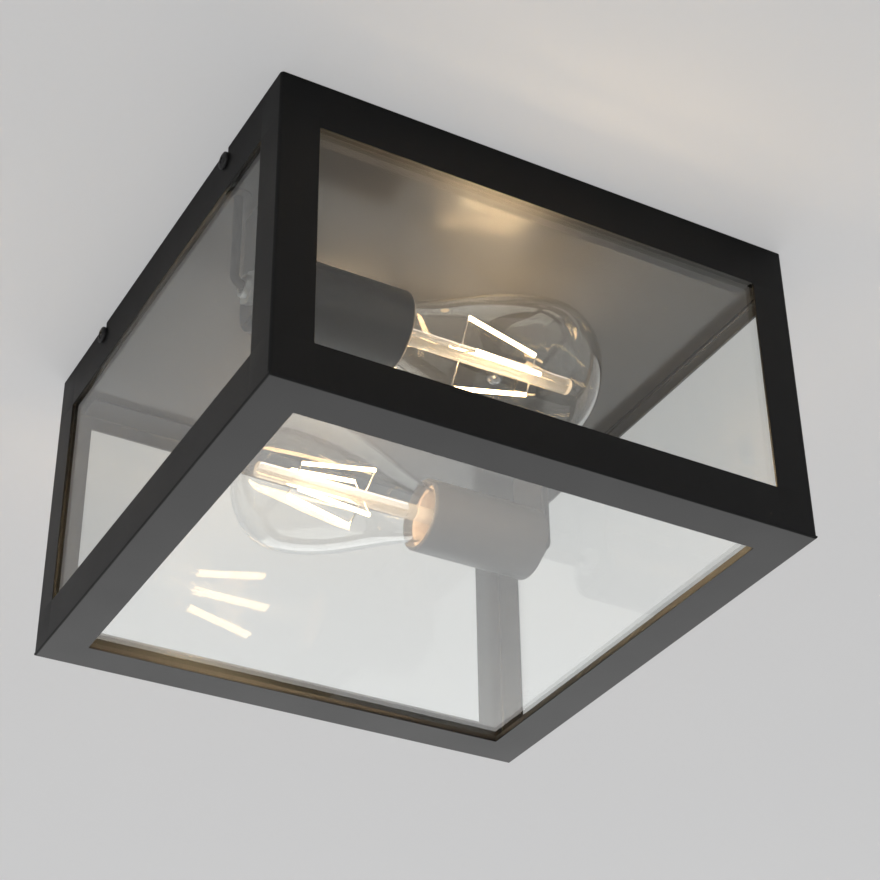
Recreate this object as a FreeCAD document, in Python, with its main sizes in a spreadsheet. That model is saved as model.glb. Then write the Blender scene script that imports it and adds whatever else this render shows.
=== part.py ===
import FreeCAD, Part
import math
import os
import re
import Sketcher
from FreeCAD import Placement, Rotation, Vector

# A square porch ceiling lantern. Its origin is the middle of the ceiling face: the lantern hangs
# down from there, so every height below is negative. +X runs along the two lamps, which lie side
# by side and point opposite ways, and +Z is up into the ceiling.

DRIVING_SIZES = [
    ("cage_width", 250, "outside width and depth of the cage"),
    ("cage_height", 150, "height of the cage"),
    ("ceiling_gap", 1.0, "gap between the cage's top edge and the ceiling"),
    ("cage_sheet", 1.2, "thickness of the cage's steel"),
    ("post_leg", 18, "width of each leg of a corner post"),
    ("top_rail", 23, "height of a top rail"),
    ("bottom_rail", 20, "height of a bottom rail"),
    ("bottom_border", 19, "width of the border round the bottom window"),
    ("stop_reach", 16.8, "how far a glass stop reaches in from the wall"),
    ("stop_inset", 13.4, "how far a glass stop ends short of the cage's corner"),
    ("pane_glass", 3, "thickness of the glass"),
    ("pane_cover", 6, "how far a side pane runs up behind a top rail"),
    ("pane_gap", 0.3, "gap round a pane at the wall, the border and the stop"),
    ("pane_corner_gap", 1.0, "gap between two panes at a corner"),
    ("seal_height", 1.6, "thickness of the seal under the bottom pane"),
    ("seal_width", 12, "width of the seal under the bottom pane"),
    ("pan_depth", 15, "depth of the ceiling pan"),
    ("pan_sheet", 1.2, "thickness of the ceiling pan's steel"),
    ("pan_gap", 0.8, "gap between the pan's sides and the cage's walls"),
    ("pan_notch", 12, "side of the square relief at each corner of the pan"),
    ("screw_spacing", 140, "distance between the two cage screws on a side"),
    ("screw_drop", 6.8, "depth of the cage screws below the ceiling"),
    ("screw_radius", 2.0, "thread radius of the cage screws and studs"),
    ("screw_length", 9.5, "length of a cage screw under its head"),
    ("head_radius", 4.0, "radius of a cage screw's head"),
    ("head_height", 1.9, "height of a cage screw's head"),
    ("head_gap", 0.2, "gap between a cage screw's head and the cage"),
    ("notch_gap", 0.5, "gap round a cage screw in its notch"),
    ("thread_gap", 0.08, "gap round a cage screw in its threaded hole"),
    ("weld_nut_width", 7, "width across the flats of a weld nut"),
    ("weld_nut_height", 3.2, "height of a weld nut"),
    ("bar_length", 116, "length of the mounting bar"),
    ("bar_width", 20, "width of the mounting bar"),
    ("bar_sheet", 1.5, "thickness of the mounting bar"),
    ("slot_spacing", 60, "distance between the mounting bar's slots"),
    ("slot_length", 16, "end to end length of a slot"),
    ("slot_radius", 2.5, "half the width of a slot"),
    ("stud_spacing", 92, "distance between the two studs"),
    ("stud_gap", 0.3, "gap round a stud in the pan"),
    ("stud_reach", 6.5, "how far a stud comes below the pan"),
    ("dome_nut_width", 7.5, "width across the flats of a dome nut"),
    ("dome_nut_height", 4.5, "height of a dome nut's hexagon"),
    ("dome_height", 3.0, "height of a dome nut's dome"),
    ("lamp_spacing", 122, "distance between the two lamps' axes"),
    ("lamp_drop", 61.5, "depth of the lamps' axes below the ceiling"),
    ("bracket_inset", 22, "distance from the cage's side to a lamp's bracket"),
    ("bracket_width", 26, "width of a lamp's bracket"),
    ("bracket_sheet", 1.5, "thickness of a lamp's bracket"),
    ("bracket_foot", 19, "length of a bracket's foot"),
    ("bracket_tail", 12, "how far a bracket runs below the lamp's axis"),
    ("bracket_corner", 4, "corner radius at a bracket's lower end"),
    ("rivet_radius", 1.6, "shank radius of a bracket's rivets"),
    ("rivet_head_radius", 3, "head radius of a bracket's rivets"),
    ("rivet_head_height", 1.1, "head height of a bracket's rivets"),
    ("rivet_spacing", 14, "distance between a bracket's two rivets"),
    ("nipple_radius", 5, "outside radius of the hollow threaded tube behind a lamp"),
    ("nipple_bore", 3.6, "bore radius of that tube"),
    ("nipple_tail", 5.5, "how far that tube stands out behind the bracket"),
    ("nipple_seat", 5, "how far that tube runs into the lampholder's insulator"),
    ("nipple_gap", 0.1, "gap round that tube in its holes"),
    ("nipple_nut_width", 14, "width across the flats of its nut"),
    ("nipple_nut_height", 3, "height of its nut"),
    ("holder_length", 62.5, "length of a lampholder"),
    ("holder_radius", 18.2, "outside radius of a lampholder"),
    ("holder_wall", 2.0, "wall of a lampholder's sleeve"),
    ("holder_back", 1.5, "thickness of the sleeve's back"),
    ("holder_edge", 1.7, "radius of the sleeve's front edge"),
    ("insulator_gap", 0.1, "gap between the insulator and the sleeve"),
    ("insulator_recess", 4.5, "how far the insulator lies behind the sleeve's rim"),
    ("insulator_base", 12, "thickness of the insulator's base"),
    ("insulator_mouth", 14.9, "bore radius of the insulator's mouth"),
    ("socket_radius", 13.5, "inside radius of the threaded shell"),
    ("socket_wall", 0.4, "wall of the threaded shell"),
    ("socket_length", 24, "length of the threaded shell"),
    ("contact_radius", 4, "radius of the lampholder's centre contact"),
    ("contact_gap", 0.3, "gap between the centre contact and the bulb"),
    ("bulb_length", 140, "length of a bulb from its contact to its tip"),
    ("bulb_radius", 35, "largest radius of a bulb"),
    ("bulb_dome", 27, "length of the domed end of a bulb"),
    ("bulb_neck", 13.4, "radius of a bulb's neck"),
    ("bulb_neck_length", 14, "length of a bulb's straight neck"),
    ("bulb_wall", 0.8, "thickness of a bulb's glass"),
    ("bulb_seat", 18.5, "distance from the bracket to a bulb's contact"),
    ("cap_length", 25.5, "length of a bulb's cap with its contact"),
    ("cap_radius", 13.1, "radius over a cap's thread"),
    ("cap_thread_depth", 0.8, "depth of a cap's thread"),
    ("cap_thread_pitch", 3.6, "pitch of a cap's thread"),
    ("cap_base", 5, "height of the dark glass under a cap"),
    ("cap_base_radius", 5.2, "radius of a bulb's contact"),
    ("cap_wall", 0.5, "wall of a cap under its thread"),
    ("stem_rim", 1.6, "length of the stem's rim, which is sealed to the neck"),
    ("stem_flare", 14, "length of the stem's flare"),
    ("stem_radius", 3.9, "radius of the stem's rod"),
    ("stem_length", 105.5, "length of the stem from the cap"),
    ("filament_radius", 1.0, "radius of a filament"),
    ("filament_start", 75, "distance from a bulb's contact to its filaments"),
    ("filament_span", 36, "length along the bulb that the filaments take"),
    ("filament_start_ring", 16, "radius of the ring of the filaments' near ends"),
    ("filament_end_ring", 9, "radius of the ring of the filaments' far ends"),
    ("wire_radius", 0.45, "radius of the support wires"),
    ("lead_radius", 2.0, "radius of a lamp's sleeved lead"),
    ("lead_bend", 4.6, "radius of a lead's bends"),
    ("lead_inset", 13, "distance from the cage's side to a lead"),
    ("lead_lift", 0.4, "gap between a grommet and the start of a lead's bend"),
    ("grommet_gap", 0.2, "gap between a lead and its grommet"),
    ("grommet_radius", 5.6, "radius of a grommet's flanges"),
    ("grommet_groove", 4.2, "radius of the pan's hole for a grommet"),
    ("grommet_flange", 1.2, "thickness of a grommet's flanges"),
    ("block_length", 30, "length of the terminal block"),
    ("block_depth", 18, "depth of the terminal block"),
    ("block_height", 11.5, "height of the terminal block"),
    ("block_offset", 42, "distance from the pan's middle to the terminal block"),
    ("block_bore", 2.3, "radius of the terminal block's wire holes"),
    ("block_pitch", 9.5, "distance between the terminal block's poles"),
    ("block_screw_radius", 1.9, "radius of the terminal block's screws"),
    ("lead_entry", 3, "how far a lead runs into the terminal block"),
    ("lead_start", 9, "length of a lead's first straight run outside the block"),
    ("lead_clearance", 3, "gap between a lead's corner and the line of the studs"),
    ("lead_finish", 34, "length of a lead's last run over the pan"),
    ("earth_offset", 34, "distance from the pan's middle to the earth screw"),
]

FILAMENTS = 4
FIRST_FILAMENT = 1 / 3    # share of a quarter turn from level to the first filament
THREADS = 4

document = FreeCAD.newDocument("ceiling_lantern")
sheet = document.addObject("Spreadsheet::Sheet", "Sizes")
for row, (alias, amount, note) in enumerate(DRIVING_SIZES, start=1):
    sheet.set(f"A{row}", note)
    sheet.set(f"B{row}", str(amount))
    sheet.setAlias(f"B{row}", alias)
document.recompute()

ALIASES = {alias for alias, _, _ in DRIVING_SIZES}
WORD = re.compile(r"[a-z][a-z_]*")


def linked(text):
    """The same sum with each size named as a cell of the sheet."""
    return WORD.sub(lambda word: "Sizes." + word.group() if word.group() in ALIASES else word.group(), str(text))


def number(text):
    """What a sum of sizes comes to."""
    return float(sheet.evalExpression(linked(text)))


def drive(thing, **sums):
    """Bind properties of a thing to sums of sizes."""
    for name, text in sums.items():
        thing.setExpression(name, linked(text))


# Places that several pieces share, as sums of the sizes.
HALF = "(cage_width / 2)"
WALL = f"({HALF} - cage_sheet)"
CAGE_TOP = "(-ceiling_gap)"
CAGE_BOTTOM = "(-ceiling_gap - cage_height)"
POST_EDGE = f"({HALF} - post_leg)"
BORDER_TOP = f"({CAGE_BOTTOM} + cage_sheet)"
WINDOW = f"({HALF} - bottom_border)"
PANE_OUT = f"({WALL} - pane_gap)"
PANE_IN = f"({PANE_OUT} - pane_glass)"
PANE_TOP = f"({CAGE_TOP} - top_rail + pane_cover)"
PANE_FOOT = f"({BORDER_TOP} + pane_gap)"
SEAL_TOP = f"({BORDER_TOP} + seal_height)"
PAN_SIDE = f"({WALL} - pan_gap)"
PAN_UNDER = "(-pan_depth)"
PAN_TOP = "(-pan_depth + pan_sheet)"
SCREW_LINE = "(-screw_drop)"
LAMP_SIDE = "(lamp_spacing / 2)"
BRACKET_BACK = f"({HALF} - bracket_inset)"
BRACKET_FACE = f"({BRACKET_BACK} - bracket_sheet)"
LEAD_LINE = f"({HALF} - lead_inset)"
LEAD_LEVEL = f"({PAN_TOP} + grommet_flange + lead_lift + lead_bend)"
RIVET_LINE = f"({BRACKET_BACK} - bracket_foot * 0.65)"
INSULATOR_FRONT = "(holder_length - insulator_recess)"
NECK_START = "cap_length"

pieces = []


def keep(piece, label):
    """Name a finished piece, which is then written under that name."""
    piece.Label = label
    pieces.append(piece)
    return piece


# --- bodies, sketches and features -------------------------------------------------------------

def new_body(label):
    return keep(document.addObject("PartDesign::Body", label), label)


def add_sketch(body, role, height="0"):
    """A sketch on one of the body's own planes, moved along the plane's normal."""
    plane = next(item for item in body.Origin.OriginFeatures if item.Role == role)
    sketch = body.newObject("Sketcher::SketchObject", body.Name + "_sketch")
    sketch.AttachmentSupport = [(plane, "")]
    sketch.MapMode = "FlatFace"
    drive(sketch, **{"AttachmentOffset.Base.z": height})
    return sketch


def hold(sketch, edge, end, across, up):
    """Hold one end of an edge at a driven place."""
    for kind, text in (("DistanceX", across), ("DistanceY", up)):
        index = sketch.addConstraint(Sketcher.Constraint(kind, -1, 1, edge, end, number(text)))
        drive(sketch, **{f"Constraints[{index}]": text})


def add_outline(sketch, corners):
    """A closed outline of straight edges through driven corners."""
    first = sketch.GeometryCount
    spots = [Vector(number(across), number(up), 0) for across, up in corners]
    for here, there in zip(spots, spots[1:] + spots[:1]):
        sketch.addGeometry(Part.LineSegment(here, there), False)
    for index, (across, up) in enumerate(corners):
        after = first + (index + 1) % len(corners)
        sketch.addConstraint(Sketcher.Constraint("Coincident", first + index, 2, after, 1))
        hold(sketch, first + index, 1, across, up)


def add_rectangle(sketch, low_across, low_up, high_across, high_up):
    add_outline(sketch, [(low_across, low_up), (high_across, low_up),
                         (high_across, high_up), (low_across, high_up)])


def add_circle(sketch, across, up, radius):
    centre = Vector(number(across), number(up), 0)
    circle = sketch.addGeometry(Part.Circle(centre, Vector(0, 0, 1), number(radius)), False)
    index = sketch.addConstraint(Sketcher.Constraint("Radius", circle, number(radius)))
    drive(sketch, **{f"Constraints[{index}]": radius})
    hold(sketch, circle, 3, across, up)


def add_slot(sketch, across, up, length, radius):
    """A slot with round ends, lying across the sketch."""
    reach = f"({length} / 2 - {radius})"
    for side, start in ((1, -math.pi / 2), (-1, math.pi / 2)):
        middle = Vector(number(f"{across} + {side} * {reach}"), number(up), 0)
        ring = Part.Circle(middle, Vector(0, 0, 1), number(radius))
        sketch.addGeometry(Part.ArcOfCircle(ring, start, start + math.pi), False)
    right = sketch.GeometryCount - 2
    left = right + 1
    ends = [(right, 2, left, 1, f"{up} + {radius}"), (left, 2, right, 1, f"{up} - {radius}")]
    for start_arc, start_end, stop_arc, stop_end, _ in ends:
        line = sketch.addGeometry(Part.LineSegment(sketch.getPoint(start_arc, start_end),
                                                   sketch.getPoint(stop_arc, stop_end)), False)
        sketch.addConstraint(Sketcher.Constraint("Tangent", start_arc, start_end, line, 1))
        sketch.addConstraint(Sketcher.Constraint("Tangent", line, 2, stop_arc, stop_end))
    index = sketch.addConstraint(Sketcher.Constraint("Radius", right, number(radius)))
    drive(sketch, **{f"Constraints[{index}]": radius})
    hold(sketch, right, 3, f"{across} + {reach}", up)
    hold(sketch, left, 3, f"{across} - {reach}", up)


def pad(body, sketch, length):
    feature = body.newObject("PartDesign::Pad", body.Name + "_pad")
    feature.Profile = sketch
    drive(feature, Length=length)
    document.recompute()
    return feature


def pocket_through(body, sketch):
    """Cut a sketch through the whole body, both ways, and make sure that it did cut."""
    before = body.Shape.Volume
    feature = body.newObject("PartDesign::Pocket", body.Name + "_pocket")
    feature.Profile = sketch
    feature.Type = "ThroughAll"
    feature.SideType = "Symmetric"
    document.recompute()
    if not body.Shape.Volume < before:
        raise RuntimeError(body.Label + ": a pocket cut nothing")
    return feature


def turn(body, sketch, axis):
    feature = body.newObject("PartDesign::Revolution", body.Name + "_turned")
    feature.Profile = sketch
    feature.ReferenceAxis = (sketch, [axis])
    feature.Angle = 360
    document.recompute()
    return feature


def edges_where(shape, test):
    return [f"Edge{index}" for index, edge in enumerate(shape.Edges, start=1) if test(edge)]


def round_edges(body, test, radius):
    """Round the body's edges that pass a test."""
    base = body.Tip
    names = edges_where(base.Shape, test)
    if not names:
        raise RuntimeError(body.Label + ": no edge to round")
    feature = body.newObject("PartDesign::Fillet", body.Name + "_fillet")
    feature.Base = (base, names)
    drive(feature, Radius=radius)
    document.recompute()
    return feature


def turned(label, outline, axis="H_Axis"):
    """A round piece: an outline in the XZ plane turned about X (H_Axis) or Z (V_Axis)."""
    body = new_body(label)
    sketch = add_sketch(body, "XZ_Plane")
    add_outline(sketch, outline)
    turn(body, sketch, axis)
    return body


def about_z(piece, turns):
    """Turn a piece about the lantern's middle by quarter turns."""
    piece.Placement = Placement(Vector(0, 0, 0), Rotation(Vector(0, 0, 1), 90 * turns))


def at_lamp(piece, side):
    """Put a piece on a lamp's axis: its own X runs from the bracket's face towards the bulb.
    Side -1 is the lamp at -Y, which points to +X, and side 1 is the lamp at +Y, turned round."""
    piece.Placement = Placement(Vector(0, 0, 0), Rotation(Vector(0, 0, 1), 0 if side < 0 else 180))
    drive(piece, **{"Placement.Base.x": f"{side} * {BRACKET_FACE}",
                    "Placement.Base.y": f"{side} * {LAMP_SIDE}",
                    "Placement.Base.z": "-lamp_drop"})


def group(label, solids):
    """Several like solids under one name."""
    return keep_shape(label, Part.makeCompound(solids))


def keep_shape(label, shape):
    piece = document.addObject("Part::Feature", label)
    piece.Shape = shape
    return keep(piece, label)


# --- the cage ---------------------------------------------------------------------------------

def make_post(name, turns):
    """An angle of folded sheet from the bottom border to the cage's top edge."""
    body = new_body(name)
    sketch = add_sketch(body, "XY_Plane", BORDER_TOP)
    add_outline(sketch, [(f"-{HALF}", f"-{HALF}"), (f"-{POST_EDGE}", f"-{HALF}"),
                         (f"-{POST_EDGE}", f"-{WALL}"), (f"-{WALL}", f"-{WALL}"),
                         (f"-{WALL}", f"-{POST_EDGE}"), (f"-{HALF}", f"-{POST_EDGE}")])
    pad(body, sketch, "cage_height - cage_sheet")
    about_z(body, turns)


def make_top_rail(name, turns):
    """A flat strip between two posts."""
    body = new_body(name)
    sketch = add_sketch(body, "XZ_Plane", WALL)
    add_rectangle(sketch, f"-{POST_EDGE}", f"({CAGE_TOP} - top_rail)", POST_EDGE, CAGE_TOP)
    pad(body, sketch, "cage_sheet")
    about_z(body, turns)


def make_notched_rail(name, turns):
    """A flat strip between two posts that carries three tabs, as high together as a top rail.
    Each gap between two tabs is the notch of a cage screw."""
    end = number(POST_EDGE)
    low = number(f"{CAGE_TOP} - top_rail")
    step = number(f"{SCREW_LINE} - screw_radius - notch_gap")
    top = number(CAGE_TOP)
    near = number("screw_spacing / 2 - screw_radius - notch_gap")
    far = number("screw_spacing / 2 + screw_radius + notch_gap")
    blocks = [(-end, end, low, step), (-end, -far, step, top), (-near, near, step, top),
              (far, end, step, top)]
    solids = []
    for left, right, foot, head in blocks:
        corner = Vector(left, -number(HALF), foot)
        solids.append(Part.makeBox(right - left, number("cage_sheet"), head - foot, corner))
    about_z(group(name, solids), turns)


def make_bottom_rail(name, turns):
    """An angle: the rail between two posts, and under them its mitred share of the border."""
    body = new_body(name)
    border = add_sketch(body, "XY_Plane", CAGE_BOTTOM)
    add_outline(border, [(f"-{HALF}", f"-{HALF}"), (HALF, f"-{HALF}"),
                         (WINDOW, f"-{WINDOW}"), (f"-{WINDOW}", f"-{WINDOW}")])
    pad(body, border, "cage_sheet")
    rail = add_sketch(body, "XY_Plane", CAGE_BOTTOM)
    add_rectangle(rail, f"-{POST_EDGE}", f"-{HALF}", POST_EDGE, f"-{WALL}")
    pad(body, rail, "bottom_rail")
    about_z(body, turns)


def make_glass_stop(name, turns):
    """A strip along the inside of a wall, just above the pane that it holds down."""
    body = new_body(name)
    sketch = add_sketch(body, "XY_Plane", f"{PANE_TOP} + pane_gap")
    end = f"({HALF} - stop_inset)"
    add_rectangle(sketch, f"-{end}", f"-{WALL}", end, f"-({WALL} - stop_reach)")
    pad(body, sketch, "cage_sheet")
    about_z(body, turns)


def make_pane(name, turns, half_length):
    """A side pane, standing on the border just inside the wall."""
    body = new_body(name)
    sketch = add_sketch(body, "XY_Plane", PANE_FOOT)
    add_rectangle(sketch, f"-{half_length}", f"-{PANE_OUT}", half_length, f"-{PANE_IN}")
    pad(body, sketch, f"{PANE_TOP} - {PANE_FOOT}")
    about_z(body, turns)


def make_cage():
    for turns, corner in enumerate(("front_left", "front_right", "back_right", "back_left")):
        make_post("post_" + corner, turns)
    for turns, side in enumerate(("front", "right", "back", "left")):
        on_x = turns % 2 == 1
        rail_maker = make_notched_rail if on_x else make_top_rail
        rail_maker("top_rail_" + side, turns)
        make_bottom_rail("bottom_rail_" + side, turns)
        short_pane = f"({PANE_IN} - pane_corner_gap)"
        make_pane("pane_" + side, turns, PANE_OUT if on_x else short_pane)
        if not on_x:
            make_glass_stop("glass_stop_" + side, turns)
    inner = f"({PANE_IN} - pane_corner_gap / 2)"

    seal = new_body("bottom_seal")
    sketch = add_sketch(seal, "XY_Plane", BORDER_TOP)
    outer = f"({WINDOW} + seal_width)"
    add_rectangle(sketch, f"-{outer}", f"-{outer}", outer, outer)
    add_rectangle(sketch, f"-{WINDOW}", f"-{WINDOW}", WINDOW, WINDOW)
    pad(seal, sketch, "seal_height")

    pane = new_body("bottom_pane")
    sketch = add_sketch(pane, "XY_Plane", SEAL_TOP)
    add_rectangle(sketch, f"-{inner}", f"-{inner}", inner, inner)
    pad(pane, sketch, "pane_glass")


# --- the ceiling pan and what is fixed to it ---------------------------------------------------

def make_pan():
    """A shallow tray, open to the ceiling, with its corners relieved where the sheet is folded."""
    body = new_body("ceiling_pan")
    floor = add_sketch(body, "XY_Plane", PAN_UNDER)
    edge = f"({PAN_SIDE} - pan_notch)"
    quarters = ((1, -1), (1, 1), (-1, 1), (-1, -1))
    corners = []
    for x_sign, y_sign in quarters:
        notch = [(f"{x_sign} * {edge}", f"{y_sign} * {PAN_SIDE}"),
                 (f"{x_sign} * {edge}", f"{y_sign} * {edge}"),
                 (f"{x_sign} * {PAN_SIDE}", f"{y_sign} * {edge}")]
        corners += notch if x_sign * y_sign < 0 else notch[::-1]
    add_outline(floor, corners)
    pad(body, floor, "pan_sheet")

    sides = add_sketch(body, "XY_Plane", PAN_UNDER)
    lip = f"({PAN_SIDE} - pan_sheet)"
    for sign in (-1, 1):
        low, high = (f"-{PAN_SIDE}", f"-{lip}") if sign < 0 else (lip, PAN_SIDE)
        add_rectangle(sides, low, f"-{edge}", high, edge)
        add_rectangle(sides, f"-{edge}", low, edge, high)
    pad(body, sides, "pan_depth")
    half = number(PAN_SIDE)
    under = number(PAN_UNDER)

    def folded(edge_line):
        box = edge_line.BoundBox
        low_edge = abs(box.ZMin - under) < 1e-6 and abs(box.ZMax - under) < 1e-6
        return low_edge and max(abs(box.Center.x), abs(box.Center.y)) > half - 1e-3
    round_edges(body, folded, "pan_sheet")

    holes = add_sketch(body, "XY_Plane", PAN_TOP)
    for side in (-1, 1):
        add_circle(holes, f"{side} * stud_spacing / 2", "0", "screw_radius + stud_gap")
        add_circle(holes, f"{side} * {LEAD_LINE}", f"{side} * {LAMP_SIDE}", "grommet_groove")
        for other in (-1, 1):
            add_circle(holes, f"{side} * {RIVET_LINE}",
                       f"{side} * {LAMP_SIDE} + {other} * rivet_spacing / 2", "rivet_radius")
    add_circle(holes, "0", "-earth_offset", "screw_radius")
    pocket_through(body, holes)

    threads = add_sketch(body, "YZ_Plane")
    for side in (-1, 1):
        add_circle(threads, f"{side} * screw_spacing / 2", SCREW_LINE, "screw_radius + thread_gap")
    pocket_through(body, threads)


def make_mounting_bar():
    bar = new_body("mounting_bar")
    sketch = add_sketch(bar, "XY_Plane", "-bar_sheet")
    add_rectangle(sketch, "-bar_length / 2", "-bar_width / 2", "bar_length / 2", "bar_width / 2")
    for side in (-1, 1):
        add_slot(sketch, f"{side} * slot_spacing / 2", "0", "slot_length", "slot_radius")
        add_circle(sketch, f"{side} * stud_spacing / 2", "0", "screw_radius")
    pad(bar, sketch, "bar_sheet")
    width = number("bar_width")
    length = number("bar_length")

    def corner(edge_line):
        box = edge_line.BoundBox
        upright = box.ZLength > 0.5
        return upright and abs(box.Center.x) > length / 2 - 1e-6 and abs(box.Center.y) > width / 2 - 1e-6
    round_edges(bar, corner, "bar_width / 5")


def hexagonal_nut(width, height, bore):
    """A plain nut standing on the XY plane, as a solid."""
    reach = number(width) / 2 / math.cos(math.pi / 6)
    corners = [Vector(reach * math.cos(math.pi / 3 * step), reach * math.sin(math.pi / 3 * step), 0)
               for step in range(6)]
    block = Part.Face(Part.makePolygon(corners + corners[:1])).extrude(Vector(0, 0, number(height)))
    chamfer = Part.makeCone(reach * 1.02, reach * 0.86, number(height))
    return block.common(chamfer.fuse(chamfer.mirror(Vector(0, 0, number(height) / 2),
                                                    Vector(0, 0, 1)))).cut(
        Part.makeCylinder(number(bore), number(height)))


def make_studs_and_nuts():
    """The bar's two studs and the dome nuts that hold the pan up to it. A dome is a slice of a
    ball as wide as the nut's flats: its radius is (flats^2 + height^2) / (2 * height)."""
    studs = []
    nuts = []
    radius = number("screw_radius")
    reach = number("pan_depth + stud_reach")
    dome = number("dome_height")
    flats = number("dome_nut_width / 2")
    height = number("dome_nut_height")
    ball = (flats ** 2 + dome ** 2) / (2 * dome)
    for side in (-1, 1):
        spot = Vector(side * number("stud_spacing / 2"), 0, 0)
        studs.append(Part.makeCylinder(radius, reach, spot - Vector(0, 0, reach)))
        cap = Part.makeSphere(ball, Vector(0, 0, height + dome - ball))
        cap = cap.common(Part.makeCylinder(flats, dome, Vector(0, 0, height)))
        nut = hexagonal_nut("dome_nut_width", "dome_nut_height", "screw_radius").fuse(cap)
        nut = nut.removeSplitter().cut(Part.makeCylinder(radius, number("stud_reach")))
        nut.rotate(Vector(0, 0, 0), Vector(1, 0, 0), 180)
        nut.translate(spot + Vector(0, 0, number(PAN_UNDER)))
        nuts.append(nut)
    group("mounting_studs", studs)
    group("dome_nuts", nuts)


def make_weld_nuts():
    nuts = []
    for side in (-1, 1):
        for other in (-1, 1):
            nut = hexagonal_nut("weld_nut_width", "weld_nut_height", "screw_radius + thread_gap")
            nut.rotate(Vector(0, 0, 0), Vector(0, 1, 0), -90 * side)
            nut.translate(Vector(side * number(f"{PAN_SIDE} - pan_sheet"),
                                 other * number("screw_spacing / 2"), number(SCREW_LINE)))
            nuts.append(nut)
    group("weld_nuts", nuts)


def make_cage_screws():
    """Pan head screws, each turned about its own X, with its head outside the cage."""
    under_head = "head_gap"
    crown = f"({under_head} + head_height)"
    for side, wall in ((-1, "left"), (1, "right")):
        for other, end in ((-1, "front"), (1, "back")):
            body = turned(f"cage_screw_{wall}_{end}", [
                (under_head, "0"), (f"{under_head} - screw_length", "0"),
                (f"{under_head} - screw_length", "screw_radius * 0.6"),
                (f"{under_head} - screw_length + screw_radius * 0.4", "screw_radius"),
                (under_head, "screw_radius"), (under_head, "head_radius"),
                (f"{under_head} + head_height * 0.35", "head_radius"),
                (f"{crown} - head_height * 0.2", "head_radius * 0.82"),
                (crown, "head_radius * 0.5"), (crown, "0")])
            body.Placement = Placement(Vector(0, 0, 0), Rotation(Vector(0, 0, 1), 0 if side > 0 else 180))
            drive(body, **{"Placement.Base.x": f"{side} * {HALF}",
                           "Placement.Base.y": f"{other} * screw_spacing / 2",
                           "Placement.Base.z": SCREW_LINE})


def make_terminal_block():
    """A three-pole block on the pan, with its wire holes along Y."""
    body = new_body("terminal_block")
    sketch = add_sketch(body, "XY_Plane", PAN_TOP)
    add_rectangle(sketch, "-block_length / 2", "block_offset - block_depth / 2",
                  "block_length / 2", "block_offset + block_depth / 2")
    pad(body, sketch, "block_height")
    wires = add_sketch(body, "XZ_Plane")
    for pole in (-1, 0, 1):
        add_circle(wires, f"{pole} * block_pitch", LEAD_LEVEL, "block_bore")
    pocket_through(body, wires)

    screws = []
    radius = number("block_screw_radius")
    top = number(f"{PAN_TOP} + block_height")
    for pole in (-1, 0, 1):
        for row in (-1, 1):
            spot = Vector(pole * number("block_pitch"),
                          number("block_offset") + row * number("block_depth") / 4, top)
            slot = Part.makeBox(radius * 2.4, radius * 0.36, radius * 0.4,
                                spot + Vector(-radius * 1.2, -radius * 0.18, radius * 0.2))
            screws.append(Part.makeCylinder(radius, radius * 0.6, spot).cut(slot))
    group("terminal_screws", screws)


def make_earth_screw():
    """A screw up through the pan's floor, with its nut on top."""
    radius = number("screw_radius")
    spot = Vector(0, -number("earth_offset"), 0)
    under = number(PAN_UNDER)
    top = number(PAN_TOP)
    nut_height = number("weld_nut_height")
    shank = Part.makeCylinder(radius, top - under + nut_height * 1.7, spot + Vector(0, 0, under))
    nut = hexagonal_nut("weld_nut_width", "weld_nut_height", "screw_radius")
    nut.translate(spot + Vector(0, 0, top))
    group("earth_screw", [shank.fuse(nut).removeSplitter()])


def make_bracket(name, side):
    """A strip folded once: its foot lies under the pan and its leg carries the lampholder.
    It is drawn in the lamp's own place, with X from the bracket's face towards the bulb."""
    body = new_body(name)
    top = "(lamp_drop - pan_depth)"
    profile = add_sketch(body, "XZ_Plane", "-bracket_width / 2")
    add_outline(profile, [("-bracket_sheet", "-bracket_tail"), ("0", "-bracket_tail"),
                          ("0", f"{top} - bracket_sheet"),
                          ("bracket_foot - bracket_sheet", f"{top} - bracket_sheet"),
                          ("bracket_foot - bracket_sheet", top), ("-bracket_sheet", top)])
    pad(body, profile, "bracket_width")
    high = number(top)
    tail = -number("bracket_tail")
    half = number("bracket_width") / 2

    def fold(edge_line):
        box = edge_line.BoundBox
        outer = abs(box.Center.x + number("bracket_sheet")) < 1e-6 and abs(box.Center.z - high) < 1e-6
        return outer and box.YLength > half
    round_edges(body, fold, "bracket_sheet")

    def lower_corner(edge_line):
        box = edge_line.BoundBox
        return box.XLength > 0.5 and abs(box.Center.z - tail) < 1e-6 and abs(abs(box.Center.y) - half) < 1e-6
    round_edges(body, lower_corner, "bracket_corner")
    bore = add_sketch(body, "YZ_Plane")
    add_circle(bore, "0", "0", "nipple_radius + nipple_gap")
    pocket_through(body, bore)
    rivets = add_sketch(body, "XY_Plane", top)
    for other in (-1, 1):
        add_circle(rivets, f"{BRACKET_FACE} - {RIVET_LINE}", f"{other} * rivet_spacing / 2", "rivet_radius")
    pocket_through(body, rivets)
    at_lamp(body, side)


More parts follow.
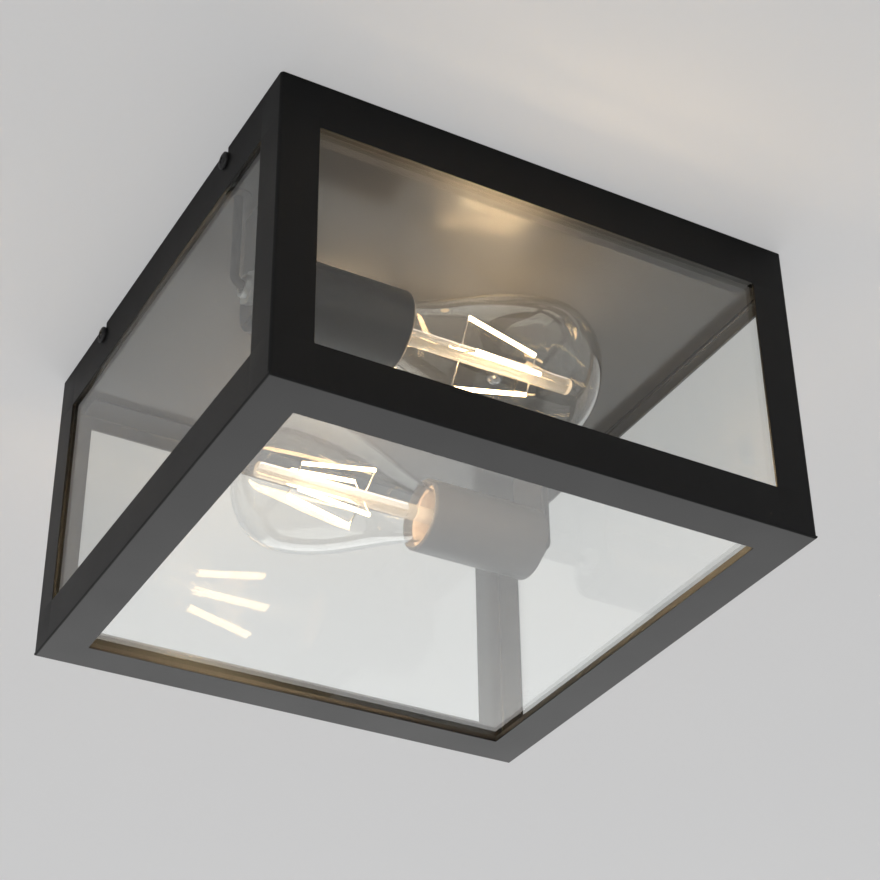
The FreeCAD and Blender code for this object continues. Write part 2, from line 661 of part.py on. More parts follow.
def make_rivets():
    rivets = []
    radius = number("rivet_radius")
    head = number("rivet_head_radius")
    head_height = number("rivet_head_height")
    top = number(PAN_TOP)
    low = number(f"{PAN_UNDER} - bracket_sheet")
    for side in (-1, 1):
        for other in (-1, 1):
            spot = Vector(side * number(RIVET_LINE),
                          side * number(LAMP_SIDE) + other * number("rivet_spacing / 2"), 0)
            shank = Part.makeCylinder(radius, top - low, spot + Vector(0, 0, low))
            under = Part.makeCone(head * 0.6, head, head_height, spot + Vector(0, 0, low - head_height))
            over = Part.makeCone(head * 0.8, head * 0.5, head_height * 0.7, spot + Vector(0, 0, top))
            rivets.append(shank.fuse([under, over]).removeSplitter())
    group("bracket_rivets", rivets)


def make_nipples():
    """The hollow threaded tubes that hold the lampholders to their brackets, and their nuts."""
    tubes = []
    nuts = []
    length = number("nipple_tail + bracket_sheet + holder_back + nipple_seat")
    for side in (-1, 1):
        turn_round = Rotation(Vector(0, 0, 1), 0 if side < 0 else 180)
        place = Placement(Vector(side * number(BRACKET_FACE), side * number(LAMP_SIDE),
                                 -number("lamp_drop")), turn_round)
        along = Rotation(Vector(0, 1, 0), 90)
        tube = Part.makeCylinder(number("nipple_radius"), length).cut(
            Part.makeCylinder(number("nipple_bore"), length))
        start = Vector(-number("bracket_sheet + nipple_tail"), 0, 0)
        tube.Placement = place.multiply(Placement(start, along))
        tubes.append(tube)
        nut = hexagonal_nut("nipple_nut_width", "nipple_nut_height", "nipple_radius")
        seat = Vector(-number("bracket_sheet + nipple_nut_height"), 0, 0)
        nut.Placement = place.multiply(Placement(seat, along))
        nuts.append(nut)
    group("nipples", tubes)
    group("nipple_nuts", nuts)


# --- the lampholders ---------------------------------------------------------------------------

def make_holder(name, side):
    inside = "(holder_radius - holder_wall)"
    sleeve = turned(name + "_sleeve", [
        ("0", "nipple_radius + nipple_gap"), ("0", "holder_radius"), ("holder_length", "holder_radius"),
        ("holder_length", inside), ("holder_back", inside), ("holder_back", "nipple_radius + nipple_gap")])
    outer = number("holder_radius")

    def rim(edge_line):
        box = edge_line.BoundBox
        return box.XLength < 1e-6 and abs(box.YLength - 2 * outer) < 1e-3
    round_edges(sleeve, rim, "holder_edge")
    at_lamp(sleeve, side)

    seat = "(holder_back + insulator_base)"
    shell_end = f"({seat} + socket_length)"
    outside = f"({inside} - insulator_gap)"
    shell_out = "(socket_radius + socket_wall)"
    bore = "(nipple_radius + nipple_gap)"
    insulator = turned(name + "_insulator", [
        ("holder_back", bore), ("holder_back", outside), (INSULATOR_FRONT, outside),
        (INSULATOR_FRONT, "insulator_mouth"), (shell_end, "insulator_mouth"), (shell_end, shell_out),
        (seat, shell_out), (seat, "0"), ("holder_back + nipple_seat", "0"),
        ("holder_back + nipple_seat", bore)])
    at_lamp(insulator, side)

    shell = turned(name + "_socket", [(seat, "socket_radius"), (seat, shell_out),
                                      (shell_end, shell_out), (shell_end, "socket_radius")])
    at_lamp(shell, side)

    reach = "(bulb_seat - contact_gap)"
    contact = turned(name + "_contact", [
        (seat, "0"), (seat, "contact_radius"), (f"{reach} - contact_radius / 4", "contact_radius"),
        (reach, "contact_radius * 0.6"), (reach, "0")])
    at_lamp(contact, side)


# --- the bulbs ---------------------------------------------------------------------------------

def glass_outline(thinner):
    """Points (along, radius) of a bulb's outside, made thinner all over by an amount: a straight
    neck, a cone that swells like a sine, and half an ellipse for the domed end."""
    neck = number("bulb_neck") - thinner
    widest = number("bulb_radius") - thinner
    dome = number("bulb_dome") - thinner
    tip = number("bulb_length") - thinner
    start = number(NECK_START) + number("bulb_neck_length")
    shoulder = tip - dome
    steps = 8
    points = []
    for step in range(steps):
        share = step / steps
        swell = math.sin(math.pi / 2 * share) ** 1.4
        points.append(Vector(start + share * (shoulder - start), 0, neck + swell * (widest - neck)))
    for step in range(steps + 1):
        angle = math.pi / 2 * step / steps
        points.append(Vector(shoulder + dome * math.sin(angle), 0, widest * math.cos(angle)))
    return points


def outline_edges(points, neck_start):
    """The straight neck and the curve beyond it, with the tip square to the axis."""
    neck_end = points[0]
    neck = Part.LineSegment(Vector(neck_start, 0, neck_end.z), neck_end).toShape()
    curve = Part.BSplineCurve()
    curve.interpolate(Points=points, InitialTangent=Vector(1, 0, 0), FinalTangent=Vector(0, 0, -1))
    return [neck, curve.toShape()]


def make_glass():
    wall = number("bulb_wall")
    start = number(NECK_START)
    outer = glass_outline(0)
    inner = glass_outline(wall)
    outer_edges = outline_edges(outer, start)
    inner_edges = outline_edges(inner, start)
    rim = Part.LineSegment(Vector(start, 0, outer[0].z), Vector(start, 0, inner[0].z)).toShape()
    tip = Part.LineSegment(outer[-1], inner[-1]).toShape()
    wire = Part.Wire(Part.__sortEdges__(outer_edges + inner_edges + [rim, tip]))
    return Part.Face(wire).revolve(Vector(0, 0, 0), Vector(1, 0, 0), 360)


def rod(start, stop, radius):
    """A round rod between two points."""
    return Part.makeCylinder(radius, (stop - start).Length, start, stop - start)


def ring_point(along, radius, turn_share):
    angle = 2 * math.pi * turn_share
    return Vector(along, radius * math.cos(angle), radius * math.sin(angle))


def filament_ends():
    """Both ends of each filament: they lean in towards the far end of the bulb."""
    start = number("filament_start")
    end = number("filament_start + filament_span")
    for index in range(FILAMENTS):
        share = (index + FIRST_FILAMENT) / FILAMENTS
        yield (ring_point(start, number("filament_start_ring"), share),
               ring_point(end, number("filament_end_ring"), share))


def make_bulb(name, side):
    def on_lamp(piece):
        piece.Placement = Placement(Vector(0, 0, 0), Rotation(Vector(0, 0, 1), 0 if side < 0 else 180))
        drive(piece, **{"Placement.Base.x": f"{side} * ({BRACKET_FACE} - bulb_seat)",
                        "Placement.Base.y": f"{side} * {LAMP_SIDE}",
                        "Placement.Base.z": "-lamp_drop"})

    on_lamp(keep_shape(name + "_glass", make_glass()))

    root = "(cap_radius - cap_thread_depth)"
    first = "(cap_base + cap_thread_pitch / 2)"
    outline = [("cap_base", f"{root} - cap_wall"), ("cap_base", root)]
    for thread in range(THREADS):
        for share, radius in ((0.1, root), (0.35, "cap_radius"), (0.65, "cap_radius"), (0.9, root)):
            outline.append((f"{first} + {thread + share} * cap_thread_pitch", radius))
    outline += [("cap_length - 1", root), ("cap_length - 1", "cap_radius"), ("cap_length", "cap_radius"),
                ("cap_length", f"{root} - cap_wall")]
    on_lamp(turned(name + "_cap", outline))

    on_lamp(turned(name + "_base", [
        ("0", "0"), ("0", "cap_base_radius * 0.8"), ("cap_base * 0.25", "cap_base_radius"),
        ("cap_base", root), ("cap_base", "0")]))

    rim = "(bulb_neck - bulb_wall)"
    stem_top = "(cap_length + stem_length)"
    on_lamp(turned(name + "_stem", [
        ("cap_length", f"{rim} - bulb_wall"), ("cap_length", rim), ("cap_length + stem_rim", rim),
        ("cap_length + stem_flare", "stem_radius"), (f"{stem_top} - stem_radius / 2", "stem_radius"),
        (stem_top, "stem_radius / 2"), (stem_top, "0"), ("cap_length + stem_flare - stem_rim", "0")]))

    filaments = []
    wires = []
    stem = rod(Vector(0, 0, 0), Vector(number(stem_top), 0, 0), number("stem_radius"))
    for start, end in filament_ends():
        filament = rod(start, end, number("filament_radius"))
        filaments.append(filament)
        for tip in (start, end):
            wire = rod(Vector(tip.x, 0, 0), tip, number("wire_radius"))
            wires.append(wire.cut(stem).cut(filament))
    on_lamp(group(name + "_filaments", filaments))
    on_lamp(group(name + "_wires", wires))


# --- the leads ---------------------------------------------------------------------------------

def rounded_path(points, radius):
    """Straight runs between the points, joined by tangent arcs."""
    edges = []
    last = points[0]
    for before, corner, after in zip(points, points[1:], points[2:]):
        back = (before - corner).normalize()
        ahead = (after - corner).normalize()
        half_angle = back.getAngle(ahead) / 2
        trim = radius / math.tan(half_angle)
        start = corner + back * trim
        stop = corner + ahead * trim
        bisector = (back + ahead).normalize()
        middle = corner + bisector * (radius / math.sin(half_angle) - radius)
        edges.append(Part.LineSegment(last, start).toShape())
        edges.append(Part.Arc(start, middle, stop).toShape())
        last = stop
    edges.append(Part.LineSegment(last, points[-1]).toShape())
    return Part.Wire(edges)


def make_lead(name, side):
    """A sleeved lead from the terminal block across the pan, down through its grommet and into
    the hollow tube behind the lampholder."""
    radius = number("lead_radius")
    level = number(LEAD_LEVEL)
    lamp_level = -number("lamp_drop")
    lead_line = side * number(LEAD_LINE)
    lamp_line = side * number(LAMP_SIDE)
    pole = side * number("block_pitch")
    block_face = number("block_offset") - side * number("block_depth / 2")
    turn_line = block_face - side * number("lead_start")
    corner = side * number("stud_spacing / 2 + screw_radius + lead_radius + lead_clearance")
    points = [Vector(pole, block_face + side * number("lead_entry"), level),
              Vector(pole, turn_line, level),
              Vector(corner, turn_line, level),
              Vector(lead_line - side * number("lead_finish"), lamp_line, level),
              Vector(lead_line, lamp_line, level),
              Vector(lead_line, lamp_line, lamp_level),
              Vector(side * number(f"{BRACKET_FACE} - holder_back"), lamp_line, lamp_level)]
    path = rounded_path(points, number("lead_bend"))
    section = Part.Wire(Part.makeCircle(radius, points[0], points[1] - points[0]))
    tube = path.makePipeShell([section], True, False)
    expected = math.pi * radius ** 2 * path.Length
    if abs(tube.Volume / expected - 1) > 0.01:
        raise RuntimeError(name + ": the lead's tube isn't its section times its length")
    keep_shape(name, tube)


def make_grommets():
    rings = []
    bore = number("lead_radius + grommet_gap")
    flange = number("grommet_flange")
    for side in (-1, 1):
        spot = Vector(side * number(LEAD_LINE), side * number(LAMP_SIDE), number(PAN_UNDER))
        thickness = number("pan_sheet")
        ring = Part.makeCylinder(number("grommet_groove"), thickness, spot)
        low = Part.makeCylinder(number("grommet_radius"), flange, spot - Vector(0, 0, flange))
        high = Part.makeCylinder(number("grommet_radius"), flange, spot + Vector(0, 0, thickness))
        through = Part.makeCylinder(bore, thickness + 2 * flange, spot - Vector(0, 0, flange))
        rings.append(ring.fuse([low, high]).removeSplitter().cut(through))
    group("lead_grommets", rings)


def main():
    make_pan()
    make_mounting_bar()
    make_studs_and_nuts()
    make_weld_nuts()
    make_terminal_block()
    make_earth_screw()
    make_rivets()
    make_nipples()
    make_grommets()
    for side, name in ((-1, "lamp_1"), (1, "lamp_2")):
        make_bracket(name + "_bracket", side)
        make_holder(name, side)
        make_lead(name + "_lead", side)
    for side, name in ((-1, "bulb_1"), (1, "bulb_2")):
        make_bulb(name, side)
    make_cage()
    make_cage_screws()
    document.recompute()
    write_pieces()


def write_pieces():
    """Check every object and every piece, and write each piece under its own name."""
    failed = [item.Label for item in document.Objects if {"Invalid", "Error"} & set(item.State)]
    if failed:
        raise RuntimeError("failed: " + ", ".join(failed))
    for piece in pieces:
        if piece.Shape.isNull() or not piece.Shape.isValid() or not piece.Shape.Solids:
            raise RuntimeError(piece.Label + " has no sound solid")
    os.makedirs("parts", exist_ok=True)
    for piece in pieces:
        piece.Shape.exportStep(os.path.join("parts", piece.Label + ".step"))
        print(f"{piece.Label}: {len(piece.Shape.Solids)} solid(s), {piece.Shape.Volume:.1f} mm3")
    print(len(pieces), "pieces")


main()
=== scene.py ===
import math

import bmesh
import bpy
import numpy as np
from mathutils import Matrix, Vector


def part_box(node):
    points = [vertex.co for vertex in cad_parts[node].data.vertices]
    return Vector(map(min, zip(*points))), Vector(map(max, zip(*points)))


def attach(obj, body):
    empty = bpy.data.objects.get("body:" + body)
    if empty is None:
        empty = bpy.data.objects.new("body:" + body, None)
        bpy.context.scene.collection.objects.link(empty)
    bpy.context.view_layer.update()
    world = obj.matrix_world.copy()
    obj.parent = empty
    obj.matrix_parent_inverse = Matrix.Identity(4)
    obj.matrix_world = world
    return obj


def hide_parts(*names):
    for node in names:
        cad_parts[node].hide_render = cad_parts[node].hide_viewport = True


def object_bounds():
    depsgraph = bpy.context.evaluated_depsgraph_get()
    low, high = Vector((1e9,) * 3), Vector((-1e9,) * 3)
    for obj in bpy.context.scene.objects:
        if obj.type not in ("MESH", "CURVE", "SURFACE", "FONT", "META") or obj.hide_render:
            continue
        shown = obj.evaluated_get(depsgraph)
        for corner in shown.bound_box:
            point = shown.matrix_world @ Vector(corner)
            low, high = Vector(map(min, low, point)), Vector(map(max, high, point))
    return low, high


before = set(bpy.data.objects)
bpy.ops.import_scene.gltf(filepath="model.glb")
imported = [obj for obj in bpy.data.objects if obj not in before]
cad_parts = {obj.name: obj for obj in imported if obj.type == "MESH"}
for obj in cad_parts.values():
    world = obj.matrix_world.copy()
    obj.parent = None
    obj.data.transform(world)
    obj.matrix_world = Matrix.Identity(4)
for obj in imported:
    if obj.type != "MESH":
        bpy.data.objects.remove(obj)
cad_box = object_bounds()

# A square porch ceiling lantern seen from below: a black glazed cage round a grey ceiling pan, and
# two clear filament bulbs that lie side by side in their lampholders and point opposite ways.
# Everything is in metres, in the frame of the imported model.


def span(node):
    """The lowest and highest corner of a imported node."""
    low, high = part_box(node)
    return np.array(low), np.array(high)


post_low, post_high = span("post_front_left")
rail_low, rail_high = span("top_rail_front")
border_low, border_high = span("bottom_rail_front")
sleeve_low, sleeve_high = span("lamp_1_sleeve")
glass_low, glass_high = span("bulb_1_glass")
screw_low, screw_high = span("cage_screw_right_front")

# The cage
HALF = -post_low[0]
POST_EDGE = -post_high[0]
CAGE_TOP = post_high[2]
BORDER_TOP = post_low[2]
CAGE_BOTTOM = border_low[2]
WALL = -rail_high[1]
WINDOW = -border_high[1]
POST_BEND = 0.0015
POST_INNER_BEND = 0.0006
SHEET_EDGE = 0.00022
BORDER_BEND = 0.0009
GLASS_EDGE = 0.0004
NOTCH = 0.0025

# The lamps
LAMP_SIDES = {"1": 1, "2": -1}
HOLDER_LENGTH = sleeve_high[0] - sleeve_low[0]
HOLDER_RADIUS = (sleeve_high[2] - sleeve_low[2]) / 2
HOLDER_WALL = 0.002
HOLDER_BACK = 0.0015
HOLDER_RIM = 0.0017
NIPPLE_HOLE = 0.0051
NIPPLE_SEAT = 0.005
SOCKET_MOUTH = 0.0149
BULB_START = span("bulb_1_base")[0][0]
BULB_LENGTH = glass_high[0] - BULB_START
BULB_RADIUS = (glass_high[2] - glass_low[2]) / 2
BULB_DOME = 0.027
CAP_LENGTH = glass_low[0] - BULB_START
NECK_RADIUS = 0.0134
NECK_LENGTH = 0.014
GLASS_WALL = 0.0008
CAP_BASE = 0.005
CAP_RADIUS = 0.0131
CAP_THREAD = 0.0008
CAP_PITCH = 0.0036
CAP_TURNS = 4
CAP_RUN_OUT = 0.0012
CAP_COLLAR = 0.0022
CAP_COLLAR_SLOPE = 0.001
CAP_SHEET = 0.0005
CAP_CONTACT = 0.0052
STEM_RADIUS = 0.0039
STEM_FLARE = 0.014
STEM_RIM = 0.0016
STEM_TOP = span("bulb_1_stem")[1][0] - BULB_START
FILAMENTS = 4
FIRST_FILAMENT = 1 / 3
FILAMENT_RADIUS = 0.001
WIRE_RADIUS = 0.00045
FILAMENT_START = 0.075
FILAMENT_SPAN = 0.036
FILAMENT_START_RING = 0.016
FILAMENT_END_RING = 0.009

# The cage screws
HEAD_RADIUS = (screw_high[2] - screw_low[2]) / 2
HEAD_GAP = 0.0002
HEAD_RIM_SHARE = 0.42
CROSS_ARM = 0.00042
CROSS_REACH = 0.0019
CROSS_DEPTH = 0.0011
SHANK_RADIUS = 0.002
SHANK_THREAD = 0.00028
SHANK_PITCH = 0.0007

ROUND = 96
ARC_STEPS = 6
EDGE_STEPS = 3


# --- shells: (points, faces) --------------------------------------------------------------------

def grid_faces(rows, columns, around):
    """Quads between neighbouring rows and columns, the last column joined to the first if around."""
    row, column = np.meshgrid(np.arange(rows - 1), np.arange(columns if around else columns - 1),
                              indexing="ij")
    right = (column + 1) % columns
    corners = (row * columns + column, row * columns + right,
               (row + 1) * columns + right, (row + 1) * columns + column)
    return np.stack([corner.ravel() for corner in corners], axis=1).tolist()


def skin(rings, capped=False):
    """A shell from rings of points, an array rings x points x 3: neighbours are joined by quads,
    and the two end rings are filled if capped."""
    rows, columns, _ = rings.shape
    faces = grid_faces(rows, columns, True)
    if capped:
        faces.append(list(range(columns))[::-1])
        faces.append(list(range((rows - 1) * columns, rows * columns)))
    return rings.reshape(-1, 3), faces


def joined(shells):
    """Several shells as one."""
    points = []
    faces = []
    start = 0
    for shell_points, shell_faces in shells:
        points.append(shell_points)
        faces += [[start + corner for corner in face] for face in shell_faces]
        start += len(shell_points)
    return np.concatenate(points), faces


def moved(shell, change):
    """The shell with a function applied to its points."""
    points, faces = shell
    return change(points), faces


def rounded(corners, radii):
    """A closed outline whose corner p, between unit directions a and b to its neighbours, is the
    arc about p + (a + b) / |a + b| * r / sin(half), where half is half the angle there."""
    corners = np.array(corners, float)
    radii = np.broadcast_to(np.array(radii, float), len(corners))[:, None]
    a = np.roll(corners, 1, axis=0) - corners
    b = np.roll(corners, -1, axis=0) - corners
    a /= np.maximum(np.linalg.norm(a, axis=1, keepdims=True), 1e-12)
    b /= np.maximum(np.linalg.norm(b, axis=1, keepdims=True), 1e-12)
    half = np.arccos(np.clip((a * b).sum(axis=1, keepdims=True), -1, 1)) / 2
    middle = (a + b) / np.maximum(np.linalg.norm(a + b, axis=1, keepdims=True), 1e-9)
    centre = corners + middle * radii / np.sin(half)
    spoke = corners + a * radii / np.tan(half) - centre
    turning = np.sign(b[:, :1] * a[:, 1:] - b[:, 1:] * a[:, :1])
    share = np.linspace(0, 1, ARC_STEPS + 1)[None, :]
    angle = turning * (math.pi - 2 * half) * share
    across = spoke[:, :1] * np.cos(angle) - spoke[:, 1:] * np.sin(angle)
    up = spoke[:, :1] * np.sin(angle) + spoke[:, 1:] * np.cos(angle)
    arcs = centre[:, None, :] + np.stack([across, up], axis=-1)
    return arcs.reshape(-1, 2)


def apart(points):
    """An outline without the points that repeat."""
    return points[np.linalg.norm(points - np.roll(points, 1, axis=0), axis=1) > 1e-8]


def bar(places, corners, radii):
    """A bar along an axis: at each place its section is the outline of these corners, rounded to
    these radii, with one row of both for each place."""
    rings = []
    for place, row, curves in zip(places, corners, radii):
        section = rounded(row, curves)
        rings.append(np.column_stack([section, np.full(len(section), place)]))
    return skin(np.stack(rings), capped=True)


def prism(outline, low, high, edge):
    """An outline carried from one level to another. Near each face the ring is drawn in by
    edge * (1 - sin(t)) at a depth of edge * (1 - cos(t)), which rounds its edges."""
    outline = apart(outline)
    ahead = np.roll(outline, -1, axis=0) - outline
    ahead /= np.linalg.norm(ahead, axis=1, keepdims=True)
    out = np.stack([ahead[:, 1], -ahead[:, 0]], axis=1)
    area = (outline[:, 0] * np.roll(outline[:, 1], -1) - outline[:, 1] * np.roll(outline[:, 0], -1)).sum()
    out *= np.sign(area)
    before = np.roll(out, 1, axis=0)
    shift = (out + before) / (1 + (out * before).sum(axis=1, keepdims=True))
    turn = np.linspace(0, math.pi / 2, EDGE_STEPS + 1)
    inset = edge * (1 - np.sin(turn))
    depth = edge * (1 - np.cos(turn))
    insets = np.concatenate([inset, inset[::-1]])
    levels = np.concatenate([low + depth, high - depth[::-1]])
    flat = outline[None] - insets[:, None, None] * shift[None]
    height = np.broadcast_to(levels[:, None, None], flat.shape[:2] + (1,))
    return skin(np.concatenate([flat, height], axis=-1), capped=True)


def turned(along, radius, sides=ROUND):
    """A surface of turning about X: the point at (u, t) is (along(u, t), radius(u, t) * cos(t),
    radius(u, t) * sin(t)). along and radius hold one value per row, or one per row and side."""
    angle = np.linspace(0, 2 * math.pi, sides, endpoint=False)[None, :]
    along, radius = np.broadcast_arrays(*(part[:, None] if part.ndim == 1 else part
                                          for part in (np.asarray(along), np.asarray(radius))))
    along = along + 0 * angle
    return skin(np.stack([along, radius * np.cos(angle), radius * np.sin(angle)], axis=-1))


def turned_ring(outline, sides=ROUND):
    """A closed outline of (along, radius) turned about X."""
    closed = np.concatenate([outline, outline[:1]])
    return turned(closed[:, 0], closed[:, 1], sides)


def tube(start, stop, radius, sides=16, cap_share=0.5):
    """A straight rod with domed ends: its radius follows a quarter circle at each end."""
    start = np.array(start, float)
    ahead = np.array(stop, float) - start
    length = np.linalg.norm(ahead)
    ahead /= length
    side = np.cross(ahead, [0.0, 0.0, 1.0] if abs(ahead[2]) < 0.9 else [1.0, 0.0, 0.0])
    side /= np.linalg.norm(side)
    other = np.cross(ahead, side)
    turn = np.linspace(0, math.pi / 2, 5)
    dome = radius * cap_share
    along = np.concatenate([dome * (1 - np.cos(turn)), length - dome * (1 - np.cos(turn[::-1]))])
    wide = np.concatenate([radius * np.sin(turn), radius * np.sin(turn[::-1])])
    angle = np.linspace(0, 2 * math.pi, sides, endpoint=False)
    rings = (start + along[:, None, None] * ahead
             + wide[:, None, None] * (np.cos(angle)[None, :, None] * side
                                      + np.sin(angle)[None, :, None] * other))
    return skin(rings)


def quarter_turns(count):
    """A change of place: so many quarter turns about the lantern's middle."""
    cos = (1, 0, -1, 0)[count % 4]
    sin = (0, 1, 0, -1)[count % 4]
    spin = np.array([[cos, sin, 0], [-sin, cos, 0], [0, 0, 1]])
    return lambda points: points @ spin


def lengthwise(points):
    """A bar drawn along Z, with a section of (y, z), laid along X."""
    return points[:, [2, 0, 1]]


def at_lamp(number, start):
    """A change of place: from a lamp's own axis, which runs along +X, to where the lamp lies."""
    side = LAMP_SIDES[number]
    low, high = span(f"lamp_{number}_sleeve")
    middle = (low + high) / 2
    origin = np.array([side * start, middle[1], middle[2]])
    return lambda points: points * [side, side, 1] + origin


# --- pieces -------------------------------------------------------------------------------------

def piece(name, shell, body, nodes, finish, crease=32):
    """An object from a shell, with doubles merged and faces outwards, that stands for its nodes.
    A corner's normal leans to the larger of its faces, so that flats stay flat beside a bend."""
    points, faces = shell
    mesh = bpy.data.meshes.new(name)
    mesh.from_pydata(points.tolist(), [], faces)
    work = bmesh.new()
    work.from_mesh(mesh)
    bmesh.ops.remove_doubles(work, verts=work.verts, dist=1e-7)
    bmesh.ops.recalc_face_normals(work, faces=work.faces)
    work.to_mesh(mesh)
    work.free()
    mesh.polygons.foreach_set("use_smooth", np.ones(len(mesh.polygons), bool))
    mesh.set_sharp_from_angle(angle=math.radians(crease))
    mesh.materials.append(finish)
    thing = bpy.data.objects.new(name, mesh)
    bpy.context.scene.collection.objects.link(thing)
    normals = thing.modifiers.new("flat_faces", "WEIGHTED_NORMAL")
    normals.keep_sharp = True
    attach(thing, body)
    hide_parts(*nodes)
    return thing


# --- finishes -----------------------------------------------------------------------------------

class Value:
    """An output of a finish's nodes. Sums with it add Math nodes."""

    def __init__(self, finish, output):
        self.finish = finish
        self.output = output

    def math(self, operation, first, second=0.0):
        return self.finish.node("ShaderNodeMath", {"operation": operation}, {0: first, 1: second})

    def __add__(self, other):
        return self.math("ADD", self, other)

    __radd__ = __add__

    def __sub__(self, other):
        return self.math("SUBTRACT", self, other)

    def __rsub__(self, other):
        return self.math("SUBTRACT", other, self)

    def __mul__(self, other):
        return self.math("MULTIPLY", self, other)

    __rmul__ = __mul__

    def __truediv__(self, other):
        return self.math("DIVIDE", self, other)

    def __pow__(self, other):
        return self.math("POWER", self, other)

    def clamp(self):
        return self.math("MINIMUM", self.math("MAXIMUM", self, 0.0), 1.0)


class Finish:
    """A material made of nodes."""

    def __init__(self, name):
        self.material = bpy.data.materials.new(name)
        self.material.use_nodes = True
        self.tree = self.material.node_tree
        self.tree.nodes.clear()

    def node(self, kind, settings=None, values=None, output=0):
        """A new node of a kind: its settings first, then the values or links of its sockets."""
        made = self.tree.nodes.new(kind)
        for name, setting in (settings or {}).items():
            setattr(made, name, setting)
        for name, value in (values or {}).items():
            if isinstance(value, Value):
                self.tree.links.new(value.output, made.inputs[name])
            else:
                made.inputs[name].default_value = value
        return Value(self, made.outputs[output]) if made.outputs else None

    def place(self, stretch=(1, 1, 1)):
        """Where a point lies on the object, in metres, stretched along each axis."""
        where = self.node("ShaderNodeTexCoord", output="Object")
        return self.node("ShaderNodeMapping", {}, {"Vector": where, "Scale": stretch})

    def noise(self, scale, detail=2.0, roughness=0.5, stretch=(1, 1, 1)):
        return self.node("ShaderNodeTexNoise", {}, {"Vector": self.place(stretch), "Scale": scale,
                                                    "Detail": detail, "Roughness": roughness})

    def steps(self, value, low, high):
        """0 below low, 1 above high and smooth between."""
        return self.node("ShaderNodeMapRange", {"interpolation_type": "SMOOTHSTEP"},
                         {"Value": value, "From Min": low, "From Max": high})

    def blend(self, share, first, second):
        """A colour between two colours."""
        return self.node("ShaderNodeMix", {"data_type": "RGBA"}, {0: share, 6: first, 7: second}, output=2)

    def bump(self, height, strength, distance):
        return self.node("ShaderNodeBump", {}, {"Height": height, "Strength": strength, "Distance": distance})

    def surface(self, **values):
        """A Principled surface. Spaces in a socket's name are underscores here."""
        named = {name.replace("_", " "): value for name, value in values.items()}
        return self.node("ShaderNodeBsdfPrincipled", {}, named)

    def done(self, shader):
        self.node("ShaderNodeOutputMaterial", {}, {"Surface": shader})
        return self.material


def colour(red, green, blue):
    return (red, green, blue, 1.0)


def powder_coat(name, tone, gloss, roughness):
    """Powder coat: an orange-peel skin 1 mm across, with cloudy patches a little duller."""
    finish = Finish(name)
    peel = finish.noise(1100, detail=3, roughness=0.6)
    cloud = finish.noise(26, detail=4)
    dark = colour(*(part * 0.8 for part in tone))
    light = colour(*(part * 1.2 for part in tone))
    return finish.done(finish.surface(
        Base_Color=finish.blend(cloud, dark, light),
        Roughness=roughness + 0.12 * (cloud - 0.5) + 0.05 * (peel - 0.5),
        Specular_IOR_Level=gloss,
        Normal=finish.bump(peel, 0.12, 0.00004)))


def satin_sheet():
    """The ceiling pan's satin sheet: a fine pebbled skin over cloudy grey patches."""
    finish = Finish("pan_sheet")
    grain = finish.noise(1300, detail=3, roughness=0.6)
    cloud = finish.noise(24, detail=5, roughness=0.6)
    fine = finish.noise(260, detail=3)
    patches = 0.7 * cloud + 0.3 * fine
    return finish.done(finish.surface(
        Base_Color=finish.blend(patches, colour(0.022, 0.022, 0.022), colour(0.036, 0.036, 0.036)),
        Roughness=0.195 + 0.02 * (grain - 0.5) + 0.04 * (cloud - 0.5),
        Specular_IOR_Level=0.44,
        Normal=finish.bump(grain, 0.04, 0.00002)))


def bare_metal(name, tone, roughness, grain_scale=1500):
    """Plated metal: fine scratches, with duller patches."""
    finish = Finish(name)
    grain = finish.noise(grain_scale, detail=4, roughness=0.7)
    cloud = finish.noise(90, detail=3)
    dark = colour(*(part * 0.72 for part in tone))
    return finish.done(finish.surface(
        Base_Color=finish.blend(cloud, dark, colour(*tone)),
        Roughness=roughness + 0.16 * (grain - 0.5) + 0.12 * (cloud - 0.5),
        Metallic=1.0,
        Normal=finish.bump(grain, 0.1, 0.00003)))


def moulded(name, tone, roughness, scale=1400):
    """Moulded plastic, rubber or porcelain: a faint texture and uneven gloss."""
    finish = Finish(name)
    texture = finish.noise(scale, detail=3)
    cloud = finish.noise(60, detail=3)
    dark = colour(*(part * 0.82 for part in tone))
    return finish.done(finish.surface(
        Base_Color=finish.blend(cloud, dark, colour(*tone)),
        Roughness=roughness + 0.1 * (texture - 0.5) + 0.08 * (cloud - 0.5),
        Normal=finish.bump(texture, 0.15, 0.00004)))


def clear_glass(name, tone, index, clear, wave):
    """Clear glass, very slightly wavy and unevenly tinted, that lets the light of lamps straight
    through. What isn't clear in it is milky."""
    finish = Finish(name)
    drawn = finish.noise(9, detail=2, stretch=(1, 1, 2.5))
    tint = colour(*(1 - 1.6 * (1 - part) for part in tone))
    glass = finish.surface(Base_Color=finish.blend(drawn, tint, colour(*tone)), Roughness=0.0,
                           IOR=index, Transmission_Weight=clear,
                           Normal=finish.bump(drawn, wave, 0.0004))
    open_way = finish.node("ShaderNodeBsdfTransparent", {}, {"Color": colour(*tone)})
    shadow = finish.node("ShaderNodeLightPath", output="Is Shadow Ray")
    return finish.done(finish.node("ShaderNodeMixShader", {}, {0: shadow, 1: glass, 2: open_way}))


